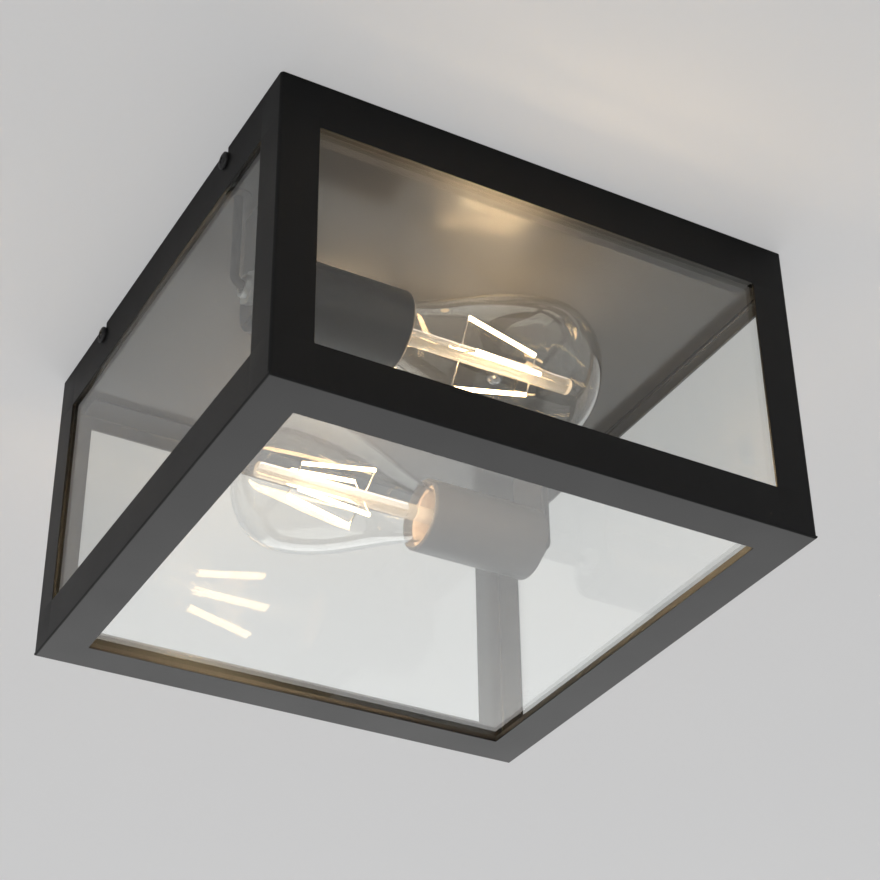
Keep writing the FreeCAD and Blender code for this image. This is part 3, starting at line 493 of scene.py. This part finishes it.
def glowing_phosphor():
    """A filament's yellow silicone, lit: brighter in patches about 2 mm across."""
    finish = Finish("filament_glow")
    grain = finish.noise(900, detail=3)
    chips = finish.steps(finish.noise(420, detail=1), 0.3, 0.7)
    light = finish.blend(chips, colour(1.0, 0.64, 0.31), colour(1.0, 0.76, 0.47))
    return finish.done(finish.surface(
        Base_Color=finish.blend(grain, colour(0.9, 0.6, 0.2), colour(1.0, 0.75, 0.35)),
        Roughness=0.5 + 0.1 * (grain - 0.5),
        Emission_Color=light, Emission_Strength=FILAMENT_GLOW))


FILAMENT_GLOW = 180.0

CAGE_PAINT = powder_coat("cage_paint", (0.004, 0.004, 0.0044), 0.34, 0.4)
HOLDER_PAINT = powder_coat("holder_paint", (0.042, 0.043, 0.048), 0.25, 0.42)
SCREW_PAINT = powder_coat("screw_paint", (0.012, 0.012, 0.013), 0.6, 0.28)
PAN_SHEET = satin_sheet()
ZINC = bare_metal("zinc", (0.5, 0.51, 0.5), 0.36)
NICKEL = bare_metal("nickel", (0.62, 0.61, 0.59), 0.22)
BRASS = bare_metal("brass", (0.66, 0.46, 0.2), 0.3)
CAP_METAL = bare_metal("cap_metal", (0.66, 0.6, 0.54), 0.25)
RUBBER = moulded("rubber", (0.012, 0.012, 0.012), 0.6)
PORCELAIN = moulded("porcelain", (0.5, 0.42, 0.38), 0.22)
TERMINAL_PLASTIC = moulded("terminal_plastic", (0.66, 0.66, 0.6), 0.45)
LEAD_BRAID = moulded("lead_braid", (0.014, 0.014, 0.015), 0.7, scale=2600)
CAP_GLASS = moulded("cap_glass", (0.015, 0.015, 0.02), 0.12)
PANE_GLASS = clear_glass("pane_glass", (0.975, 0.987, 0.98), 1.5, 1.0, 0.1)
BULB_GLASS = clear_glass("bulb_glass", (0.99, 0.99, 0.985), 1.47, 1.0, 0.3)
STEM_GLASS = clear_glass("stem_glass", (0.97, 0.97, 0.98), 1.5, 0.86, 0.3)
PHOSPHOR = glowing_phosphor()


# --- the cage -----------------------------------------------------------------------------------

CORNERS = ("front_left", "front_right", "back_right", "back_left")
SIDES = ("front", "right", "back", "left")


def between_joints(low, high, inner_low, inner_high):
    """Places along a bar, and how far its free edge is softened at each: not at all where it
    meets another bar, and fully between the inner ends of its neighbours."""
    run = 2 * SHEET_EDGE
    places = [low, inner_low, inner_low + run, inner_high - run, inner_high, high]
    return places, [0, 0, SHEET_EDGE, SHEET_EDGE, 0, 0]


def make_post(name, turns):
    corners = [(-HALF, -HALF), (-POST_EDGE, -HALF), (-POST_EDGE, -WALL), (-WALL, -WALL),
               (-WALL, -POST_EDGE), (-HALF, -POST_EDGE)]
    places, edges = between_joints(BORDER_TOP, CAGE_TOP, border_high[2], rail_low[2])
    radii = [[POST_BEND, edge, edge, POST_INNER_BEND, edge, edge] for edge in edges]
    shell = bar(places, [corners] * len(places), radii)
    piece(name, moved(shell, quarter_turns(turns)), "cage", [name], CAGE_PAINT)


def make_top_rail(name, turns):
    """On the left and right the rail is cut down to the foot of a notch round each cage screw."""
    low = rail_low[2]
    run = 2 * SHEET_EDGE
    stations = [(-POST_EDGE, CAGE_TOP, 0), (-POST_EDGE + run, CAGE_TOP, SHEET_EDGE),
                (POST_EDGE - run, CAGE_TOP, SHEET_EDGE), (POST_EDGE, CAGE_TOP, 0)]
    foot = (screw_low[2] + screw_high[2]) / 2 - NOTCH
    if turns % 2:
        middle = abs(screw_low[1] + screw_high[1]) / 2
        cuts = []
        for side in (-1, 1):
            start = side * middle - NOTCH
            stop = side * middle + NOTCH
            cuts += [(start, CAGE_TOP, SHEET_EDGE), (start, foot + 1e-9, SHEET_EDGE),
                     (stop, foot + 1e-9, SHEET_EDGE), (stop, CAGE_TOP, SHEET_EDGE)]
        stations[2:2] = cuts
    corners = [[(-HALF, low), (-WALL, low), (-WALL, foot), (-WALL, top), (-HALF, top), (-HALF, foot)]
               for _, top, _ in stations]
    radii = [[edge, edge, 0, 0, 0, 0] for _, _, edge in stations]
    shell = moved(bar([place for place, _, _ in stations], corners, radii), lengthwise)
    piece(name, moved(shell, quarter_turns(turns)), "cage", [name], CAGE_PAINT)


def make_bottom_rail(name, turns):
    """The border is an outline (y, z) whose ends are cut at 45 degrees, at x = y and x = -y; the
    rail above it is a strip with square ends."""
    outline = apart(rounded([(-HALF, CAGE_BOTTOM), (-WINDOW, CAGE_BOTTOM), (-WINDOW, BORDER_TOP),
                             (-HALF, BORDER_TOP)], [BORDER_BEND, SHEET_EDGE, SHEET_EDGE, 0]))
    rings = np.stack([np.column_stack([end * outline[:, 0], outline]) for end in (1, -1)])
    border = skin(rings, capped=True)
    run = 2 * SHEET_EDGE
    top = border_high[2]
    corners = [(-HALF, BORDER_TOP), (-WALL, BORDER_TOP), (-WALL, top), (-HALF, top)]
    edges = [0, SHEET_EDGE, SHEET_EDGE, 0]
    places = [-POST_EDGE, -POST_EDGE + run, POST_EDGE - run, POST_EDGE]
    strip = bar(places, [corners] * 4, [[0, 0, edge, edge] for edge in edges])
    shell = joined([border, moved(strip, lengthwise)])
    piece(name, moved(shell, quarter_turns(turns)), "cage", [name], CAGE_PAINT)


def make_plate(name, thin_axis, corner, edge, body, finish):
    """A flat plate as large as its node, with rounded corners and softened edges."""
    low, high = span(name)
    first, second = [axis for axis in range(3) if axis != thin_axis]
    outline = rounded([(low[first], low[second]), (high[first], low[second]),
                       (high[first], high[second]), (low[first], high[second])], corner)
    points, faces = prism(outline, low[thin_axis], high[thin_axis], edge)
    order = np.argsort([first, second, thin_axis])
    piece(name + "_plate", (points[:, order], faces), body, [name], finish)


def make_cage():
    for turns, corner in enumerate(CORNERS):
        make_post("post_" + corner, turns)
    for turns, side in enumerate(SIDES):
        make_top_rail("top_rail_" + side, turns)
        make_bottom_rail("bottom_rail_" + side, turns)
        make_plate("pane_" + side, 0 if turns % 2 else 1, GLASS_EDGE, GLASS_EDGE, "cage",
                   PANE_GLASS)
        if turns % 2 == 0:
            make_plate("glass_stop_" + side, 2, SHEET_EDGE, SHEET_EDGE, "cage", CAGE_PAINT)
    make_plate("bottom_pane", 2, GLASS_EDGE, GLASS_EDGE, "cage", PANE_GLASS)


# --- the lampholders ----------------------------------------------------------------------------

def make_holder(number):
    place = at_lamp(number, sleeve_low[0])
    name = f"lamp_{number}_"
    inside = HOLDER_RADIUS - HOLDER_WALL
    outline = rounded([(0, NIPPLE_HOLE), (0, HOLDER_RADIUS), (HOLDER_LENGTH, HOLDER_RADIUS),
                       (HOLDER_LENGTH, inside), (HOLDER_BACK, inside), (HOLDER_BACK, NIPPLE_HOLE)],
                      [0, 0.0006, HOLDER_RIM, 0.00025, 0.0003, 0])
    piece(name + "sleeve_shell", moved(turned_ring(outline), place), "pan", [name + "sleeve"],
          HOLDER_PAINT)

    low, high = span("lamp_1_insulator")
    shell_low, shell_high = span("lamp_1_socket")
    front = high[0] - sleeve_low[0]
    outside = (high[2] - low[2]) / 2
    seat = shell_low[0] - sleeve_low[0]
    shell_end = shell_high[0] - sleeve_low[0]
    shell_out = (shell_high[2] - shell_low[2]) / 2
    outline = rounded([(HOLDER_BACK, NIPPLE_HOLE), (HOLDER_BACK, outside), (front, outside),
                       (front, SOCKET_MOUTH),
                       (shell_end, SOCKET_MOUTH), (shell_end, shell_out), (seat, shell_out), (seat, 0),
                       (HOLDER_BACK + NIPPLE_SEAT, 0), (HOLDER_BACK + NIPPLE_SEAT, NIPPLE_HOLE)],
                      [0, 0, 0.0008, 0.001, 0.0002, 0, 0, 0, 0, 0])
    piece(name + "insulator_body", moved(turned_ring(outline), place), "pan", [name + "insulator"],
          PORCELAIN)

    rows = np.linspace(seat, shell_end, 120)[:, None]
    turn = np.linspace(0, 1, ROUND, endpoint=False)[None, :]
    wave = 0.5 + 0.5 * np.cos(2 * math.pi * (rows / CAP_PITCH - turn))
    inner = shell_out - 0.0004 + 0.00015 * wave
    wall = np.concatenate([np.full((1, ROUND), shell_out), inner, np.full((1, ROUND), shell_out)])
    along = np.concatenate([rows[:1], rows, rows[-1:]]) + 0 * turn
    outer = turned(np.array([seat, shell_end]), np.array([shell_out, shell_out]))
    piece(name + "threaded_shell", moved(joined([turned(along, wall), outer]), place), "pan",
          [name + "socket"], BRASS)


# --- the bulbs ----------------------------------------------------------------------------------

def bulb_outline(thinner, steps):
    """(along, radius) of a bulb's outside made thinner all over: a straight neck, a cone that
    swells as sin(90 degrees * share) ** 1.4, and half an ellipse for the domed end."""
    neck = NECK_RADIUS - thinner
    widest = BULB_RADIUS - thinner
    dome = BULB_DOME - thinner
    shoulder = BULB_LENGTH - BULB_DOME
    start = CAP_LENGTH + NECK_LENGTH
    share = np.linspace(0, 1, steps, endpoint=False)
    swell = np.sin(math.pi / 2 * share) ** 1.4
    angle = np.linspace(0, math.pi / 2, steps)
    along = np.concatenate([[CAP_LENGTH], start + share * (shoulder - start),
                            shoulder + dome * np.sin(angle)])
    radius = np.concatenate([[neck], neck + swell * (widest - neck), widest * np.cos(angle)])
    radius[-1] = 0
    return along, radius


def cap_surface():
    """A cap: radius(along, t) = root + depth * fade * (1 + cos(2 pi (along / pitch - t))) / 2, where
    fade is 1 on the thread and 0 at both ends, over a plain inner wall."""
    root = CAP_RADIUS - CAP_THREAD
    rows = np.linspace(CAP_BASE, CAP_LENGTH, 150)[:, None]
    turn = np.linspace(0, 1, ROUND, endpoint=False)[None, :]
    start = CAP_BASE + CAP_PITCH / 2
    stop = start + CAP_TURNS * CAP_PITCH
    fade = np.clip((rows - start) / CAP_RUN_OUT, 0, 1) * np.clip((stop - rows) / CAP_RUN_OUT, 0, 1)
    wave = 0.5 + 0.5 * np.cos(2 * math.pi * (rows / CAP_PITCH - turn))
    collar = np.clip((rows - (CAP_LENGTH - CAP_COLLAR)) / CAP_COLLAR_SLOPE, 0, 1)
    outer = root + CAP_THREAD * np.maximum(fade * wave, collar + 0 * turn)
    inner = np.full((1, ROUND), root - CAP_SHEET)
    radius = np.concatenate([inner, outer, inner, inner])
    along = np.concatenate([rows[:1], rows, rows[-1:], rows[:1]]) + 0 * turn
    return turned(along, radius)


def ring_point(along, radius, share):
    angle = 2 * math.pi * share
    return np.array([along, radius * math.cos(angle), radius * math.sin(angle)])


def make_bulb(number):
    body = f"bulb_{number}"
    name = body + "_"
    place = at_lamp(number, BULB_START)
    outer_along, outer_radius = bulb_outline(0, 40)
    inner_along, inner_radius = bulb_outline(GLASS_WALL, 40)
    along = np.concatenate([outer_along[::-1], inner_along])
    radius = np.concatenate([outer_radius[::-1], inner_radius])
    piece(name + "envelope", moved(turned(along, radius, 128), place), body, [name + "glass"],
          BULB_GLASS, crease=60)

    piece(name + "screw_cap", moved(cap_surface(), place), body, [name + "cap"],
          CAP_METAL, crease=60)

    root = CAP_RADIUS - CAP_THREAD
    outline = rounded([(0, 0), (0, CAP_CONTACT * 0.8), (CAP_BASE * 0.25, CAP_CONTACT),
                       (CAP_BASE, root), (CAP_BASE, 0)],
                      [0, 0.0005, 0.0008, 0, 0])
    piece(name + "cap_base", moved(turned(outline[:, 0], outline[:, 1]), place), body, [name + "base"],
          CAP_GLASS)

    rim = NECK_RADIUS - GLASS_WALL
    share = np.linspace(0, 1, 16)
    flare_along = CAP_LENGTH + STEM_RIM + share * (STEM_FLARE - STEM_RIM)
    flare = STEM_RADIUS + (rim - STEM_RADIUS) * (1 - np.sin(math.pi / 2 * share)) ** 1.25
    tip = np.linspace(0, math.pi / 2, 6)
    top = STEM_TOP - STEM_RIM
    along = np.concatenate([[CAP_LENGTH], flare_along, top + STEM_RIM * np.sin(tip),
                            [CAP_LENGTH + STEM_FLARE - STEM_RIM], [CAP_LENGTH]])
    radius = np.concatenate([[rim], flare, STEM_RADIUS * (0.5 + 0.5 * np.cos(tip)), [0], [rim - GLASS_WALL]])
    along = np.insert(along, -2, STEM_TOP)
    radius = np.insert(radius, -2, 0)
    closed = (np.append(along, along[0]), np.append(radius, radius[0]))
    piece(name + "glass_stem", moved(turned(*closed, 48), place), body, [name + "stem"],
          STEM_GLASS, crease=50)

    rods = []
    wires = []
    for index in range(FILAMENTS):
        share = (index + FIRST_FILAMENT) / FILAMENTS
        start = ring_point(FILAMENT_START, FILAMENT_START_RING, share)
        end = ring_point(FILAMENT_START + FILAMENT_SPAN, FILAMENT_END_RING, share)
        rods.append(tube(start, end, FILAMENT_RADIUS))
        for tip_point in (start, end):
            inward = ring_point(tip_point[0], STEM_RADIUS, share)
            wires.append(tube(inward, tip_point, WIRE_RADIUS, sides=8))
    piece(name + "filament_rods", moved(joined(rods), place), body, [name + "filaments"],
          PHOSPHOR)
    piece(name + "support_wires", moved(joined(wires), place), body, [name + "wires"], NICKEL)


# --- the cage screws ----------------------------------------------------------------------------

def near(value, limit):
    """1 / (1 + (value / limit) ** 10): 1 well below the limit, 0 well above it."""
    return 1 / (1 + (value / limit) ** 10)


def screw_head():
    """A pan head turned about X: its crown falls off as an ellipse, less a cross-shaped recess
    whose arms are where |y| or |z| is small."""
    sides = 128
    reach = screw_high[0] - HALF - HEAD_GAP
    share = np.linspace(0, 1, 56)[:, None]
    angle = np.linspace(0, 2 * math.pi, sides, endpoint=False)[None, :]
    radius = HEAD_RADIUS * share + 0 * angle
    dome = np.sqrt(np.clip(1 - share ** 2.6, 0, 1))
    crown = reach * (HEAD_RIM_SHARE + (1 - HEAD_RIM_SHARE) * dome) + 0 * angle
    across = np.abs(radius * np.cos(angle))
    up = np.abs(radius * np.sin(angle))
    cross = np.maximum(near(across, CROSS_ARM) * near(up, CROSS_REACH),
                       near(up, CROSS_ARM) * near(across, CROSS_REACH))
    depth = CROSS_DEPTH * cross * (1 - radius / HEAD_RADIUS * 0.5)
    along = np.concatenate([crown - depth, np.zeros((2, sides))])
    wide = np.concatenate([radius, np.full((1, sides), HEAD_RADIUS), np.zeros((1, sides))])
    return turned(along, wide, sides)


def screw_shank(length, radius):
    """A threaded shank along -X: radius less depth * (1 + cos(2 pi (along / pitch - t))) / 2."""
    sides = 32
    rows = np.linspace(0, length, int(length / SHANK_PITCH * 8))[:, None]
    turn = np.linspace(0, 1, sides, endpoint=False)[None, :]
    groove = SHANK_THREAD * (0.5 + 0.5 * np.cos(2 * math.pi * (rows / SHANK_PITCH - turn)))
    taper = np.clip((length - rows) / 0.001, 0.55, 1)
    wide = (radius - groove) * taper
    along = np.concatenate([-rows, -rows[-1:]]) + 0 * turn
    return turned(along, np.concatenate([wide, np.zeros((1, sides))]), sides)


def make_cage_screws():
    for wall, side in (("left", -1), ("right", 1)):
        for end in ("front", "back"):
            node = f"cage_screw_{wall}_{end}"
            low, high = span(node)
            origin = np.array([side * (HALF + HEAD_GAP), (low[1] + high[1]) / 2, (low[2] + high[2]) / 2])
            length = high[0] - low[0] - (screw_high[0] - HALF - HEAD_GAP)
            shell = joined([screw_head(), screw_shank(length, SHANK_RADIUS)])
            piece(node + "_turned", moved(shell, lambda points: points * [side, side, 1] + origin),
                  f"screw_{wall}_{end}", [node], SCREW_PAINT, crease=40)


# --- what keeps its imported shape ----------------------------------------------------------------

KEPT = {
    "ceiling_pan": PAN_SHEET, "mounting_bar": ZINC, "mounting_studs": ZINC, "dome_nuts": NICKEL,
    "weld_nuts": ZINC, "terminal_block": TERMINAL_PLASTIC, "terminal_screws": BRASS,
    "earth_screw": BRASS, "lead_grommets": RUBBER, "bracket_rivets": NICKEL, "nipples": ZINC,
    "nipple_nuts": ZINC, "bottom_seal": RUBBER,
    "lamp_1_bracket": HOLDER_PAINT, "lamp_2_bracket": HOLDER_PAINT, "lamp_1_contact": BRASS,
    "lamp_2_contact": BRASS, "lamp_1_lead": LEAD_BRAID, "lamp_2_lead": LEAD_BRAID,
}


def dress_kept_nodes():
    for node, finish in KEPT.items():
        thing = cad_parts[node]
        for place in thing.material_slots:
            place.material = finish


# --- the studio ---------------------------------------------------------------------------------

CEILING_SIZE = 7.0
CEILING_TONE = (0.5, 0.5, 0.507)
CEILING_GLOW = 0.87
GLOW_SEEN = 0.45
GLOW_THROUGH_GLASS = 0.42
FLOOR_DROP = 2.6
ROOM_LIGHT = 0.55
CAMERA_PLACE = (-0.3683, -0.6805, -0.5808)
CAMERA_ANGLES = (123.53, 0.66, -29.07)
CAMERA_LENS = 83.38


def make_ceiling():
    """A plain ceiling behind the lantern, for eyes and mirrors below it only: from above, and for
    light, it isn't there. Seen straight or through glass it is part plaster, which keeps the
    lantern's shadow, and part a pale backdrop of its own light. Mirrors see the plaster alone."""
    finish = Finish("ceiling_plaster")
    cloud = finish.noise(3, detail=4)
    plaster = finish.surface(Base_Color=finish.blend(cloud, colour(*(part * 0.97 for part in CEILING_TONE)),
                                                     colour(*CEILING_TONE)),
                             Roughness=0.9, Specular_IOR_Level=0.2)
    backdrop = finish.surface(Base_Color=colour(0, 0, 0), Specular_IOR_Level=0.0, Roughness=0.9,
                              Emission_Color=finish.blend(cloud, colour(0.98, 0.98, 0.99), colour(1, 1, 1)),
                              Emission_Strength=CEILING_GLOW)
    seen = finish.node("ShaderNodeLightPath", output="Is Camera Ray")
    through = finish.node("ShaderNodeLightPath", output="Is Transmission Ray")
    share = GLOW_SEEN * seen + GLOW_THROUGH_GLASS * through
    underside = finish.node("ShaderNodeMixShader", {}, {0: share, 1: plaster, 2: backdrop})
    nothing = finish.node("ShaderNodeBsdfTransparent")
    behind = finish.node("ShaderNodeNewGeometry", output="Backfacing")
    shadow = finish.node("ShaderNodeLightPath", output="Is Shadow Ray")
    hidden = (behind + shadow).clamp()
    material = finish.done(finish.node("ShaderNodeMixShader", {}, {0: hidden, 1: underside, 2: nothing}))
    mesh = bpy.data.meshes.new("ceiling")
    reach = CEILING_SIZE / 2
    corners = [(-reach, -reach, 0), (-reach, reach, 0), (reach, reach, 0), (reach, -reach, 0)]
    lift = cad_box[1][2] + 0.0004
    mesh.from_pydata([(x, y, lift) for x, y, _ in corners], [], [(0, 1, 2, 3)])
    mesh.materials.append(material)
    ceiling = bpy.data.objects.new("ceiling", mesh)
    bpy.context.scene.collection.objects.link(ceiling)


def make_floor():
    finish = Finish("pale_floor")
    cloud = finish.noise(2, detail=3)
    material = finish.done(finish.surface(
        Base_Color=finish.blend(cloud, colour(0.72, 0.72, 0.71), colour(0.78, 0.78, 0.77)), Roughness=0.8))
    mesh = bpy.data.meshes.new("floor")
    reach = CEILING_SIZE
    mesh.from_pydata([(-reach, -reach, -FLOOR_DROP), (reach, -reach, -FLOOR_DROP),
                      (reach, reach, -FLOOR_DROP), (-reach, reach, -FLOOR_DROP)], [], [(0, 1, 2, 3)])
    mesh.materials.append(material)
    floor = bpy.data.objects.new("floor", mesh)
    bpy.context.scene.collection.objects.link(floor)


def make_room_light():
    world = bpy.data.worlds.new("room")
    bpy.context.scene.world = world
    world.use_nodes = True
    background = next(node for node in world.node_tree.nodes if node.type == "BACKGROUND")
    background.inputs["Color"].default_value = (1.0, 1.0, 1.0, 1.0)
    background.inputs["Strength"].default_value = ROOM_LIGHT


def add_softbox(name, place, target, size, power, tone=(1, 1, 1)):
    """A large soft lamp that faces a point."""
    lamp = bpy.data.lights.new(name, "AREA")
    lamp.shape = "SQUARE"
    lamp.size = size
    lamp.energy = power
    lamp.color = tone
    thing = bpy.data.objects.new(name, lamp)
    bpy.context.scene.collection.objects.link(thing)
    aim = np.array(target, float) - np.array(place, float)
    thing.location = place
    thing.rotation_euler = Vector(aim).to_track_quat("-Z", "Y").to_euler()
    return thing


def make_studio():
    make_ceiling()
    make_floor()
    make_room_light()
    add_softbox("far_low_box", (1.05, 1.85, -1.5), (0, 0, -0.1), 3.0, 33)
    add_softbox("near_box", (-1.6, -1.4, -1.9), (0, 0, 0), 1.2, 5)
    add_softbox("top_box", (0.5, 1.0, 1.9), (0, 0, -0.1), 1.4, 26)


def make_camera():
    view = bpy.data.cameras.new("camera")
    view.lens = CAMERA_LENS
    view.sensor_width = 36.0
    view.clip_start = 0.01
    camera = bpy.data.objects.new("camera", view)
    camera.location = CAMERA_PLACE
    camera.rotation_euler = [math.radians(angle) for angle in CAMERA_ANGLES]
    bpy.context.scene.collection.objects.link(camera)
    bpy.context.scene.camera = camera


make_cage()
for lamp_number in LAMP_SIDES:
    make_holder(lamp_number)
    make_bulb(lamp_number)
make_cage_screws()
dress_kept_nodes()
make_studio()
make_camera()
bpy.context.scene.view_settings.view_transform = "Standard"
